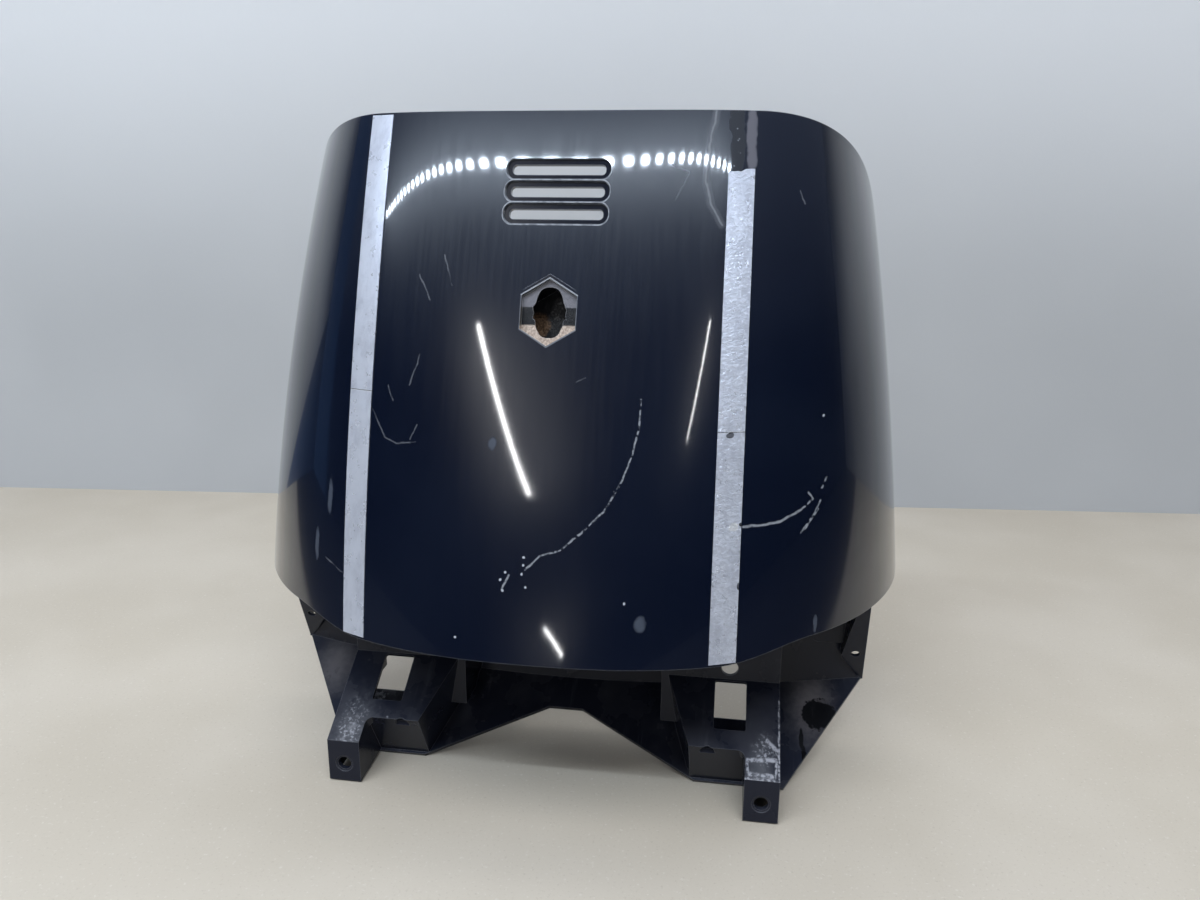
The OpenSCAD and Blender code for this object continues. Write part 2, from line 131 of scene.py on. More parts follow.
def skin(u, v):
    """A point of the shield's outer face, in mm: u from left to right, v from the lip to the top edge."""
    z = lip_at(u) + (rim_at(u) - lip_at(u)) * v
    rear = lip_rear + (top_rear - lip_rear) * level(z)
    sweep = math.acos(1 - (rear - front_y(z)) / side_d(z))
    t = sweep * abs(u) ** 1.6
    x = math.copysign(half_w(z) * math.sin(t) ** (2 / square(z)), u)
    return Vector((x, front_y(z) + side_d(z) * (1 - math.cos(t)), z))


# Fairing shell: injection-moulded ABS 3 mm thick, with rounded edges all round. It is laid out as a fine
# grid on the face, thickened inwards, and then cut for the three vents and the badge seat.
def mesh_object(name, points, faces, smooth=True):
    mesh = bpy.data.meshes.new(name)
    mesh.from_pydata([tuple(Vector(p) * MM) for p in points], [], faces)
    mesh.update()
    for polygon in mesh.polygons:
        polygon.use_smooth = smooth
    piece = bpy.data.objects.new(name, mesh)
    scene.collection.objects.link(piece)
    return piece


def shell_grid():
    across, up = 220, 130
    points, faces = [], []
    for j in range(up + 1):
        for i in range(across + 1):
            u = math.sin(math.radians(90 * (2 * i / across - 1)))
            v = 0.5 - 0.5 * math.cos(math.pi * j / up)
            points.append(skin(u, 0.6 * v + 0.4 * j / up))
    for j in range(up):
        for i in range(across):
            k = j * (across + 1) + i
            faces.append((k, k + 1, k + across + 2, k + across + 1))
    return mesh_object("shell", points, faces)


def apply_modifiers(piece):
    graph = bpy.context.evaluated_depsgraph_get()
    mesh = bpy.data.meshes.new_from_object(piece.evaluated_get(graph))
    piece.modifiers.clear()
    piece.data = mesh


def cut(piece, tool, how="DIFFERENCE"):
    boolean = piece.modifiers.new("cut", "BOOLEAN")
    boolean.operation = how
    boolean.solver = "EXACT"
    boolean.object = tool
    apply_modifiers(piece)
    bpy.data.objects.remove(tool, do_unlink=True)


edge_round, edge_steps = 1.2, 3
shell = shell_grid()
thicken = shell.modifiers.new("wall", "SOLIDIFY")
thicken.thickness = wall * MM
thicken.offset = -1
thicken.use_even_offset = True
round_edge = shell.modifiers.new("rounded edge", "BEVEL")
round_edge.width = edge_round * MM
round_edge.segments = edge_steps
round_edge.limit_method = "ANGLE"
round_edge.angle_limit = math.radians(60)
shell.modifiers.new("triangles", "TRIANGULATE")
apply_modifiers(shell)


# Vents and badge seat: cored along the moulding direction, which leans 15 degrees back from upright.
# Each vent has a sunk surround with round ends; the hexagonal seat has lost its badge and part of its floor.
draw_tilt = math.radians(15)


def draw_frame(z):
    """Local frame on the middle line: X across, Y up the face, Z outwards."""
    return Matrix.Translation((0, front_y(z), z)) @ Matrix.Rotation(math.pi / 2 - draw_tilt, 4, "X")


def prism(name, outline, low, high, place):
    """An upright prism over an outline, from low to high in its local frame, in mm."""
    n = len(outline)
    points = [place @ Vector((x, y, h)) for h in (low, high) for x, y in outline]
    faces = [tuple(range(n - 1, -1, -1)), tuple(range(n, 2 * n))]
    faces += [(i, (i + 1) % n, n + (i + 1) % n, n + i) for i in range(n)]
    return mesh_object(name, points, faces, smooth=False)


def rounded(w, h, r, steps=8):
    outline = []
    for cx, cy, start in ((w / 2 - r, h / 2 - r, 0), (r - w / 2, h / 2 - r, 90),
                          (r - w / 2, r - h / 2, 180), (w / 2 - r, r - h / 2, 270)):
        for k in range(steps + 1):
            a = math.radians(start + 90 * k / steps)
            outline.append((cx + r * math.cos(a), cy + r * math.sin(a)))
    return outline


def hexagon(w, h):
    side = h / 4
    return [(0, h / 2), (-w / 2, side), (-w / 2, -side), (0, -h / 2), (w / 2, -side), (w / 2, side)]


vent_z = (351.4, 364.0, 376.6)
vent_len, vent_high, vent_corner = 62, 12.4, 5.4
vent_sink, vent_ledge, vent_back, opening_corner = 2.6, 3.2, 5.6, 2.6
in_wall, clear_out, clear_in = -1.4, 20, -30
for z in vent_z:
    pad = rounded(vent_len + 8, vent_high + 5, vent_corner + 1)
    cut(shell, prism("vent back", pad, -vent_back, in_wall, draw_frame(z)), "UNION")
for z in vent_z:
    surround = rounded(vent_len, vent_high, vent_corner)
    opening = rounded(vent_len - 2 * vent_ledge, vent_high - 2 * vent_ledge, opening_corner)
    cut(shell, prism("vent surround", surround, -vent_sink, clear_out, draw_frame(z)))
    cut(shell, prism("vent opening", opening, clear_in, 5, draw_frame(z)))

seat_z = 296.7
seat_w, seat_h, seat_depth, cup_depth = 32.3, 39, 4, 26
seat = draw_frame(seat_z)
rim_w, rim_h, floor_t = 5.0, 5.75, 2.5
cup = hexagon(seat_w + rim_w, seat_h + rim_h)
cup_room = hexagon(seat_w - rim_w, seat_h - rim_h)
cut(shell, prism("cup", cup, -cup_depth, in_wall, seat), "UNION")
cut(shell, prism("pocket", hexagon(seat_w, seat_h), -seat_depth, clear_out, seat))
cut(shell, prism("cup room", cup_room, floor_t - cup_depth, -seat_depth - floor_t, seat))


def broken_outline():
    """The hole left where the seat's floor broke out: tall, with ragged sides and a smoother top."""
    rng = random.Random(7)
    half_wide, half_tall, rise = 8.4, 14.6, 0.4
    outline = []
    steps = 72
    for k in range(steps):
        a = 2 * math.pi * k / steps
        x = half_wide * math.copysign(abs(math.cos(a)) ** 0.75, math.cos(a))
        y = half_tall * math.copysign(abs(math.sin(a)) ** 0.85, math.sin(a)) + rise
        ragged = 0.15 if y > 6 else 1.0
        nick = rng.uniform(-0.55, 0.55) * ragged
        if abs(y) < 4:
            nick -= 1.0
        x += math.copysign(nick, x)
        outline.append((x, y))
    return outline


cut(shell, prism("broken hole", broken_outline(), -seat_depth - floor_t - 0.2, 5, seat))


# Carrier: the ramp, consoles, arms, back wall, shelf and gussets, moulded onto the shell in one shot. Its
# exact shape is in the frame, so every face there that isn't the shield's is taken over as it is.
def is_skin(points):
    for p in points:
        x, y, z = p / MM
        if z < lip_z - 2:
            return False
        normal = face_normal(x, z)
        inside = (y - face_y(x, z)) * -normal.y
        if not -1.2 < inside < wall + 1.4:
            return False
    return True


def is_cored(points):
    return all(abs(p.x / MM) < 42 and p.z / MM > 255 for p in points)


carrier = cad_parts["fairing"].copy()
carrier.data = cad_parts["fairing"].data.copy()
carrier.name = "carrier"
scene.collection.objects.link(carrier)
work = bmesh.new()
work.from_mesh(carrier.data)
bmesh.ops.remove_doubles(work, verts=work.verts, dist=1e-6)
remade = []
for face in work.faces:
    corners = [v.co for v in face.verts]
    if is_skin(corners) or is_cored(corners):
        remade.append(face)
bmesh.ops.delete(work, geom=remade, context="FACES")
work.to_mesh(carrier.data)
work.free()
if "custom_normal" in carrier.data.attributes:
    carrier.data.attributes.remove(carrier.data.attributes["custom_normal"])
for polygon in carrier.data.polygons:
    polygon.use_smooth = True
carrier.data.set_sharp_from_angle(angle=math.radians(14))


def join(name, pieces):
    joined = bmesh.new()
    for piece in pieces:
        joined.from_mesh(piece.data)
        bpy.data.objects.remove(piece, do_unlink=True)
    mesh = bpy.data.meshes.new(name)
    joined.to_mesh(mesh)
    joined.free()
    body = bpy.data.objects.new(name, mesh)
    scene.collection.objects.link(body)
    return body


shell.data.shade_smooth()
shell.data.set_sharp_from_angle(angle=math.radians(32))
fairing = join("fairing_moulding", [shell, carrier])
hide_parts("fairing")
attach(fairing, "root")


# Fairing finish: blue-black gloss paint over black plastic on the outside, bare black plastic inside and
# on the carrier. The paint is polished and scratched, the carrier dusty and scuffed. Sharp edges and the
# rims of the vents and seat carry painted highlights, the carrier's right web painted dark reflections
# and the badge seat's upper floor a painted reflection.
outer_skin, bare_plastic, badge_floor = range(3)


def zone(polygon):
    x, y, z = polygon.center / MM
    if z < lip_z - 1:
        return bare_plastic
    local = seat.inverted() @ Vector((x, y, z))
    depth = (y - face_y(x, z)) * -face_normal(x, z).y
    in_seat = abs(local.x) < seat_w / 2 + 0.6 and abs(local.y) < seat_h / 2 + 0.6
    if in_seat and depth > 0.5 > -local.z - cup_depth:
        return badge_floor
    return outer_skin if depth < wall - 0.4 or in_vents(x, z) else bare_plastic


def in_vents(x, z):
    return abs(x) < vent_len / 2 + 1 and vent_z[0] - vent_high < z < vent_z[-1] + vent_high


def new_material(name):
    material = bpy.data.materials.new(name)
    material.use_nodes = True
    material.node_tree.nodes.clear()
    return material, material.node_tree.nodes, material.node_tree.links


paint, nodes, links = new_material("blue_black_gloss")


def node(kind, **values):
    made = nodes.new(kind)
    for key, value in values.items():
        setattr(made, key, value)
    return made


def feed(socket, source):
    """Sets an input from a number, a colour or another node's output."""
    if isinstance(source, bpy.types.NodeSocket):
        links.new(source, socket)
    else:
        socket.default_value = source


def calc(operation, a, b=0.0, c=0.0, limit=False):
    made = node("ShaderNodeMath", operation=operation, use_clamp=limit)
    feed(made.inputs[0], a)
    feed(made.inputs[1], b)
    feed(made.inputs[2], c)
    return made.outputs[0]


def vector_calc(operation, a, b=(0, 0, 0), scale=None, out=0):
    made = node("ShaderNodeVectorMath", operation=operation)
    feed(made.inputs[0], a)
    feed(made.inputs[1], b)
    if scale is not None:
        feed(made.inputs["Scale"], scale)
    return made.outputs[out]


def noise(vector, scale, detail=4.0, roughness=0.55, distortion=0.0, out=0):
    made = node("ShaderNodeTexNoise")
    feed(made.inputs["Vector"], vector)
    made.inputs["Scale"].default_value = scale
    made.inputs["Detail"].default_value = detail
    made.inputs["Roughness"].default_value = roughness
    made.inputs["Distortion"].default_value = distortion
    return made.outputs[out]


def band(value, low, high, to_low=0.0, to_high=1.0):
    made = node("ShaderNodeMapRange", interpolation_type="SMOOTHSTEP")
    feed(made.inputs[0], value)
    made.inputs[1].default_value = low
    made.inputs[2].default_value = high
    made.inputs[3].default_value = to_low
    made.inputs[4].default_value = to_high
    return made.outputs[0]


def mix_colour(share, a, b):
    made = node("ShaderNodeMix", data_type="RGBA")
    feed(made.inputs[0], share)
    feed(made.inputs[6], a)
    feed(made.inputs[7], b)
    return made.outputs[2]


def stretched(factors):
    return vector_calc("MULTIPLY", here, factors)


def shaken_place(shake):
    """The place on the face, flattened to (x, 0, z), with a small wander so that marks are ragged."""
    wander = vector_calc("SUBTRACT", noise(here, 160, 3, out=1), (0.5, 0.5, 0.5))
    wander = vector_calc("SCALE", wander, scale=shake * MM)
    return vector_calc("ADD", vector_calc("MULTIPLY", here, (1, 0, 1)), wander)


def stroke(points, width, fade=0.3):
    """Mask of a scratch that runs through points (x, z) in mm."""
    nearest = None
    for (x0, z0), (x1, z1) in zip(points, points[1:]):
        run = Vector((x1 - x0, 0, z1 - z0)) * MM
        away = vector_calc("SUBTRACT", marks_place, Vector((x0, 0, z0)) * MM)
        share = vector_calc("DOT_PRODUCT", away, run / run.length_squared, out=1)
        share = calc("ADD", share, 0.0, limit=True)
        distance = vector_calc("DISTANCE", away, vector_calc("SCALE", run, scale=share), out=1)
        nearest = distance if nearest is None else calc("MINIMUM", nearest, distance)
    return band(nearest, width * fade * MM, width * MM, 1.0, 0.0)


def blot(x, z, wide, high, edge=0.35, rough=0.9):
    """Mask of a patch centred at (x, z) in mm, with a ragged edge."""
    away = vector_calc("SUBTRACT", marks_place, Vector((x, 0, z)) * MM)
    shape = vector_calc("MULTIPLY", away, (2 / (wide * MM), 0, 2 / (high * MM)))
    size = calc("ADD", vector_calc("LENGTH", shape, out=1), calc("MULTIPLY", noise(here, 240, 3), rough))
    return band(size, 1 + rough / 2 - edge, 1 + rough / 2, 1.0, 0.0)


def strongest(*masks):
    best = masks[0]
    for mask in masks[1:]:
        best = calc("MAXIMUM", best, mask)
    return best


def times(a, b):
    return calc("MULTIPLY", a, b)


def speckle(density, scale, size=0.16):
    """Mask of scattered dots: one in each picked cell."""
    cells = node("ShaderNodeTexVoronoi", feature="F1")
    feed(cells.inputs["Vector"], here)
    cells.inputs["Scale"].default_value = scale
    picked = band(cells.outputs["Color"], 1 - density, 1.01 - density)
    return times(band(cells.outputs["Distance"], 0.0, size, 1.0, 0.0), picked)


def rounded_normal(radius):
    soft_edge = node("ShaderNodeBevel", samples=4)
    soft_edge.inputs["Radius"].default_value = radius * MM
    return soft_edge.outputs[0]


def edge_highlight_mask(normal, low, high):
    """Mask of the strip along sharp edges, where a painted highlight goes."""
    true_normal = node("ShaderNodeNewGeometry").outputs["True Normal"]
    return band(vector_calc("DOT_PRODUCT", normal, true_normal, out=1), low, high, 1.0, 0.0)


def finish_surface(colour, roughness, height, strength, distance, normal=None):
    """Principled surface with fine relief; returns it for its own settings."""
    surface = node("ShaderNodeBsdfPrincipled")
    out = node("ShaderNodeOutputMaterial")
    links.new(surface.outputs[0], out.inputs[0])
    feed(surface.inputs["Base Color"], colour)
    feed(surface.inputs["Roughness"], roughness)
    bump = node("ShaderNodeBump")
    bump.inputs["Strength"].default_value = strength
    bump.inputs["Distance"].default_value = distance * MM
    feed(bump.inputs["Height"], height)
    if normal is not None:
        links.new(normal, bump.inputs["Normal"])
    links.new(bump.outputs[0], surface.inputs["Normal"])
    return surface


here = node("ShaderNodeTexCoord").outputs["Object"]
marks_place = shaken_place(2.0)
soft_normal = rounded_normal(0.7)
long_scratch = [(55.8, 251.2), (55.6, 235.3), (52.5, 221.9), (47.7, 207.5), (38.0, 191.3), (28.5, 181.3),
                (15.0, 170.0), (3.9, 166.2), (-4.3, 158.2)]
tape_scratch = [(115.4, 183.3), (128.2, 183.0), (136.1, 184.0), (147.5, 188.6)]
scuff_loops = [[(146.4, 187.7), (154.8, 193.7), (151.6, 198.1)],
               [(148.6, 175.8), (154.8, 183.4), (159.5, 192.0)],
               [(151.0, 177.5), (158.0, 187.5)],
               [(160.0, 198.9), (162.8, 204.5)]]
light_arcs = [[(-102.8, 238.8), (-93.7, 224.3), (-85.8, 221.5), (-73.8, 223.0)],
              [(-73.2, 232.9), (-77.2, 224.4)],
              [(-93.7, 252.7), (-89.8, 245.2)],
              [(-64.0, 327.2), (-58.2, 310.5)],
              [(-78.6, 315.7), (-71.0, 301.8)],
              [(-133.1, 148.7), (-119.8, 143.0)],
              [(65.9, 378.8), (76.4, 374.9), (68.8, 359.3)],
              [(139.7, 365.7), (143.0, 358.0)],
              [(-79.5, 254.2), (-74.6, 271.1)],
              [(24.0, 262.0), (19.0, 259.5)]]
smear = [(90.0, 409.5), (87.4, 392.9), (85.7, 370.5), (89.2, 356.7), (96.0, 345.8)]
chips = [(-5.4, 164.7), (-5.4, 160.4), (-5.9, 155.8), (-3.7, 148.8), (-15.5, 156.1), (-18.3, 152.3),
         (107.5, 239.0), (-16.6, 146.4), (159.2, 239.5), (52.0, 143.0), (-43.0, 118.5)]
smudges = [(-27.5, 225.1, 6.0, 9.0), (61.4, 131.9, 8.0, 11.0), (160.0, 121.5, 3.0, 12.0),
           (-131.0, 185.0, 4.5, 26.0), (-141.0, 155.0, 4.0, 24.0)]


def rounded_rim(z, width):
    """Mask of the line round a vent's surround, painted bright as a highlight on its rounded edge."""
    out = vector_calc("ABSOLUTE", vector_calc("SUBTRACT", marks_place, Vector((0, 0, z)) * MM))
    flat_w, flat_h = vent_len / 2 - vent_corner, (vent_high / 2 - vent_corner) * math.cos(draw_tilt)
    past = vector_calc("SUBTRACT", out, Vector((flat_w, 0, flat_h)) * MM)
    distance = vector_calc("LENGTH", vector_calc("MAXIMUM", past, (0, 0, 0)), out=1)
    off = calc("ABSOLUTE", calc("SUBTRACT", distance, (vent_corner + 0.15) * MM))
    return band(off, 0.15 * MM, width * MM, 1.0, 0.0)


wandering_place = marks_place
marks_place = shaken_place(0.25)
# Painted highlight: the rounded rims of the vent surrounds and of the badge seat are painted as bright
# lines.
vent_rim_highlights = strongest(*[rounded_rim(z, 0.6) for z in vent_z])
side_z, top_z = seat_h / 4 * math.cos(draw_tilt), seat_h / 2 * math.cos(draw_tilt)
upper_left, upper_right = (-seat_w / 2, seat_z + side_z), (seat_w / 2, seat_z + side_z)
lower_left, lower_right = (-seat_w / 2, seat_z - side_z), (seat_w / 2, seat_z - side_z)
seat_rim_highlight_upper = stroke([upper_left, (0, seat_z + top_z), upper_right], 0.75)
seat_rim_highlight_lower = stroke([upper_right, lower_right, (0, seat_z - top_z), lower_left, upper_left], 0.6)
rim_highlights = strongest(times(vent_rim_highlights, band(noise(here, 260, 2), 0.35, 0.6, 0.45, 1.0)), seat_rim_highlight_upper,
                 times(seat_rim_highlight_lower, 0.45))
marks_place = wandering_place
broken_up = band(noise(here, 420, 2), 0.38, 0.56)
uneven = band(noise(here, 300, 2), 0.25, 0.5, 0.45, 1.0)
scratch_end = [(-13.6, 154.5), (-17.0, 147.0)]
scratches = times(strongest(stroke(long_scratch, 0.75), stroke(scratch_end, 0.8)), broken_up)
scratches = strongest(scratches, times(stroke(tape_scratch, 1.0), uneven))
scratches = strongest(scratches, *[times(stroke(loop, 0.8), broken_up) for loop in scuff_loops])
patchy = band(noise(here, 90, 2), 0.3, 0.6, 0.3, 1.0)
faint = times(strongest(*[stroke(arc, 0.6) for arc in light_arcs]), patchy)
smeared = strongest(times(stroke(smear, 3.2, 0.1), 0.35), stroke(smear, 0.9))
chipped = strongest(*[blot(x, z, 1.7, 1.7, 0.3, 0.3) for x, z in chips])
dulled = strongest(*[blot(x, z, wide, high, 0.5, 0.6) for x, z, wide, high in smudges])
dust = strongest(speckle(0.05, 230, 0.13), times(speckle(0.03, 120, 0.07), 0.8))
hairlines = times(band(noise(stretched((300, 1, 26)), 1.0, 5, 0.72, 0.8), 0.66, 0.80),
                  band(noise(here, 12, 3), 0.45, 0.65))
residue = strongest(blot(101.8, 404, 10, 22, 0.2, 0.5), blot(103.2, 388, 9, 34, 0.2, 0.5))
film = strongest(blot(110.5, 398, 7, 40, 0.4, 0.3), blot(111.5, 383, 7, 18, 0.4, 0.3))

deep_paint = (0.0022, 0.0046, 0.0140, 1)
clouded_paint = (0.0040, 0.0070, 0.0175, 1)
scratch_and_highlight_grey = (0.42, 0.45, 0.50, 1)
haze_colour = (0.10, 0.12, 0.16, 1)
film_colour = (0.15, 0.15, 0.18, 1)
glue_colour, glue_specks = (0.016, 0.019, 0.026, 1), (0.26, 0.28, 0.32, 1)
colour = mix_colour(band(noise(here, 11, 3), 0.35, 0.7), deep_paint, clouded_paint)
colour = mix_colour(times(dulled, 0.55), colour, haze_colour)
colour = mix_colour(times(film, 0.75), colour, film_colour)
colour = mix_colour(residue, colour, glue_colour)
colour = mix_colour(times(residue, speckle(0.35, 420, 0.3)), colour, glue_specks)
# Painted highlight: a strip along the sharp edges of the skin.
edge_highlight = edge_highlight_mask(soft_normal, 0.78, 0.985)
marks_and_highlights = strongest(times(scratches, 0.62), times(faint, 0.20), times(smeared, 0.30), chipped,
                        times(dust, 0.22), times(hairlines, 0.03), times(edge_highlight, 0.5), times(rim_highlights, 0.75))
# Scratches, chips, smears, dust and hairlines show a bare grey. The same grey is painted on edges and rims
# as a highlight.
colour = mix_colour(marks_and_highlights, colour, scratch_and_highlight_grey)
polish = band(noise(stretched((420, 40, 9)), 1.0, 3, 0.6), 0.3, 0.7, 0.205, 0.245)
gloss_loss = strongest(marks_and_highlights, times(dulled, 0.5), residue, times(film, 0.6))
roughness = calc("ADD", polish, times(gloss_loss, 0.35))
grooves = strongest(scratches, chipped)
height = calc("SUBTRACT", times(noise(here, 70, 2), 0.25), grooves)
paint_surface = finish_surface(colour, roughness, height, 0.22, 0.12, soft_normal)
paint_surface.inputs["Specular IOR Level"].default_value = 0.30
paint_surface.inputs["Coat Weight"].default_value = 0.85
paint_surface.inputs["Coat Roughness"].default_value = 0.045

plastic, nodes, links = new_material("black_moulded_plastic")
here = node("ShaderNodeTexCoord").outputs["Object"]
marks_place = shaken_place(1.6)
soft_normal = rounded_normal(0.8)
facing = node("ShaderNodeSeparateXYZ")
links.new(node("ShaderNodeNewGeometry").outputs["Normal"], facing.inputs[0])
upper_side = band(facing.outputs[2], 0.25, 0.6)
dusty_film = times(band(noise(here, 26, 4), 0.42, 0.68), upper_side)
streaks = band(noise(stretched((120, 14, 14)), 1.0, 4, 0.65), 0.55, 0.75)
left_scuff = strongest(times(blot(-133, 20, 26, 34, 0.9, 0.8), 0.8), blot(-138, 11, 20, 16, 0.8, 0.8))
right_scuff = times(blot(136, 27, 18, 16, 0.9, 0.6), 0.8)
fine_grain = band(noise(here, 520, 3), 0.50, 0.66)
scuff_grain = strongest(fine_grain, times(band(noise(here, 180, 3), 0.5, 0.7), 0.5))
left_worn = strongest(stroke([(-146, 6.2), (-132, 5.0), (-124, 3.4)], 1.6),
                      stroke([(-144, 12.0), (-133, 11.2)], 1.2),
                      stroke([(-110.5, 27), (-106.0, 17), (-103.0, 16.4), (-98.0, 16.6)], 1.0))
right_worn = strongest(stroke([(125.5, 23.0), (126.5, 18.6), (143.5, 18.2), (143.6, 24.0)], 1.1),
                       stroke([(125.5, 23.4), (143.5, 24.2)], 1.1),
                       stroke([(124.6, 17.0), (144.8, 16.4)], 1.4),
                       stroke([(138.0, 31.0), (144.6, 27.0)], 1.4),
                       stroke([(145.2, 17.0), (145.4, 46.0)], 0.9))
worn = times(strongest(left_worn, right_worn), band(noise(here, 420, 3), 0.38, 0.62, 0.12, 1.0))
scuffs = times(strongest(times(strongest(left_scuff, right_scuff), scuff_grain), worn), upper_side)
# Painted reflection: dark blots on the right web, where a dark thing is reflected.
dark_reflection_blots = times(strongest(blot(176, 19, 26, 13, 0.15, 0.9), blot(186, 14, 12, 12, 0.15, 0.9),
                         blot(163.0, 8.5, 3.4, 9, 0.2, 0.6), blot(164.5, 2.5, 3.4, 7, 0.2, 0.6)), upper_side)
right_web, left_web = blot(170, 24, 44, 44, 1.0, 0.5), blot(-178, 24, 44, 40, 1.0, 0.5)
web_film = times(strongest(right_web, times(left_web, 0.8)), upper_side)
# The arms' tops near the tips are painted a paler grey.
left_tip, right_tip = blot(-130, 18, 42, 50, 1.0, 0.6), blot(135, 20, 24, 34, 1.0, 0.6)
arm_top_grey = times(strongest(left_tip, times(right_tip, 0.8)), upper_side)
# Painted highlight: a strip along the carrier's sharp edges.
carrier_edge_highlight = edge_highlight_mask(soft_normal, 0.78, 0.985)

black_plastic, rubbed_and_highlight_grey = (0.0125, 0.0150, 0.0260, 1), (0.46, 0.47, 0.52, 1)
thin_dust, web_dust, arm_top_pale_grey = (0.045, 0.046, 0.058, 1), (0.150, 0.140, 0.146, 1), (0.135, 0.14, 0.155, 1)
dark_reflection_colour = (0.0030, 0.0032, 0.0045, 1)
colour = mix_colour(times(dusty_film, 0.5), black_plastic, thin_dust)
colour = mix_colour(times(web_film, 0.8), colour, web_dust)
colour = mix_colour(times(arm_top_grey, 0.6), colour, arm_top_pale_grey)
colour = mix_colour(dark_reflection_blots, colour, dark_reflection_colour)
# Scuffs and dust show a rubbed grey. The same grey is painted on the sharp edges as a highlight.
carrier_marks_and_highlights = strongest(times(scuffs, 0.75), times(speckle(0.05, 260, 0.14), 0.18),
                          times(carrier_edge_highlight, 0.22), times(times(streaks, upper_side), 0.05))
colour = mix_colour(carrier_marks_and_highlights, colour, rubbed_and_highlight_grey)
gloss = calc("ADD", band(noise(here, 40, 4), 0.3, 0.75, 0.16, 0.30), times(dusty_film, 0.15))
roughness = calc("ADD", calc("ADD", gloss, times(web_film, 0.14)), times(carrier_marks_and_highlights, 0.3))
height = calc("ADD", times(noise(here, 150, 3), 0.4), times(carrier_marks_and_highlights, -0.5))
plastic_surface = finish_surface(colour, roughness, height, 0.20, 0.15, soft_normal)
plastic_surface.inputs["Specular IOR Level"].default_value = 0.22

seat_finish, nodes, links = new_material("badge_seat_plastic")
here = node("ShaderNodeTexCoord").outputs["Object"]
marks_place = shaken_place(0.8)
soft_normal = rounded_normal(0.5)
height_on_face = node("ShaderNodeSeparateXYZ")
links.new(here, height_on_face.inputs[0])
up_place = height_on_face.outputs[2]
out_axis = seat.to_3x3() @ Vector((0, 0, 1))
outwards = vector_calc("DOT_PRODUCT", here, out_axis, out=1)
depth = calc("SUBTRACT", outwards, out_axis.dot(seat.translation) * MM)
above_break = band(depth, -4.35 * MM, -4.2 * MM)
turned = node("ShaderNodeSeparateXYZ")
links.new(node("ShaderNodeNewGeometry").outputs["True Normal"], turned.inputs[0])
on_floor = band(turned.outputs[1], -0.92, -0.85, 1.0, 0.0)
on_left = band(turned.outputs[0], 0.8, 0.9)
low_part = times(band(up_place, 0.2885, 0.2895, 1.0, 0.0), above_break)
pale_part = times(times(strongest(on_floor, on_left), band(up_place, 0.2985, 0.2995)), above_break)
grain = band(noise(here, 900, 3), 0.35, 0.68)
left_side = blot(-9.5, 286.5, 15, 17, 0.3, 0.6)
rust = calc("SUBTRACT", left_side, above_break, limit=True)
cup_black, reflection_grey, old_glue = (0.006, 0.007, 0.010, 1), (0.19, 0.19, 0.22, 1), (0.10, 0.088, 0.072, 1)
peach_glue = mix_colour(grain, (0.36, 0.28, 0.23, 1), (0.66, 0.56, 0.48, 1))
brown_rust = mix_colour(grain, (0.07, 0.035, 0.015, 1), (0.26, 0.15, 0.08, 1))
# Painted reflection: the seat's floor and left-facing wall above 298.5 mm are a light grey.
colour = mix_colour(times(pale_part, 0.9), cup_black, reflection_grey)
colour = mix_colour(times(on_left, band(up_place, 0.2985, 0.2995, 1.0, 0.0)), colour, old_glue)
colour = mix_colour(low_part, colour, peach_glue)
colour = mix_colour(rust, colour, brown_rust)
# Painted highlight: the seat's sharp edges are painted a light grey.
colour = mix_colour(times(edge_highlight_mask(soft_normal, 0.75, 0.985), 0.6), colour, (0.62, 0.63, 0.66, 1))
finish_surface(colour, band(grain, 0, 1, 0.28, 0.6), grain, 0.5, 0.2, soft_normal)

for finish in (paint, plastic, seat_finish):
    fairing.data.materials.append(finish)
for polygon in fairing.data.polygons:
    polygon.material_index = zone(polygon)

# The skin is shaded with the face's own normals, so the cuts for the vents and seat leave no ripple.
corner_normals = []
for polygon in fairing.data.polygons:
    for corner in polygon.loop_indices:
        x, y, z = fairing.data.vertices[fairing.data.loops[corner].vertex_index].co / MM
        normal = Vector((0, 0, 0))
        if polygon.material_index == outer_skin and abs(y - face_y(x, z)) < 0.08:
            across = face_normal(x, z)
            if across.dot(polygon.normal) > 0.93:
                normal = across
        corner_normals.append(normal)
fairing.data.normals_split_custom_set(corner_normals)


# Tape stripes: 15 mm silver tape laid by hand from the lip to the top edge, each stripe in two lengths
# that meet end to end. The right one is wrinkled and torn off short of the top.
tape, nodes, links = new_material("silver_tape")
here = node("ShaderNodeTexCoord").outputs["Object"]
marks_place = shaken_place(1.2)
fresh_tape, dull_tape = (0.72, 0.76, 0.86, 1), (0.54, 0.57, 0.66, 1)
dulling = band(noise(stretched((1, 1, 0.35)), 120, 5, 0.7), 0.42, 0.72)
colour = mix_colour(times(dulling, 0.8), fresh_tape, dull_tape)
rubbed = blot(110.0, 183.5, 6, 5, 0.3, 0.8)
nicks = strongest(blot(106.0, 232.6, 4.6, 3.4, 0.15, 0.8), blot(114.2, 151.0, 1.6, 4, 0.15, 0.6),
                  blot(114.0, 184.6, 2.2, 2.2, 0.15, 0.6))
lap_lines = strongest(stroke([(103.0, 234.3), (117.0, 234.6)], 0.7),
                      stroke([(-120.0, 249.2), (-104.0, 249.2)], 0.6))
colour = mix_colour(strongest(rubbed, times(lap_lines, 0.7)), colour, (0.85, 0.87, 0.90, 1))
colour = mix_colour(nicks, colour, (0.03, 0.03, 0.035, 1))
right_side = band(vector_calc("DOT_PRODUCT", here, (1, 0, 0), out=1), 0, 0.01, 0.22, 1.0)
creases = times(noise(stretched((1, 1, 1.7)), 330, 4, 0.62, 0.7), right_side)
crease_shade = times(band(creases, 0.42, 0.62, 1.0, 0.0), times(right_side, 0.35))
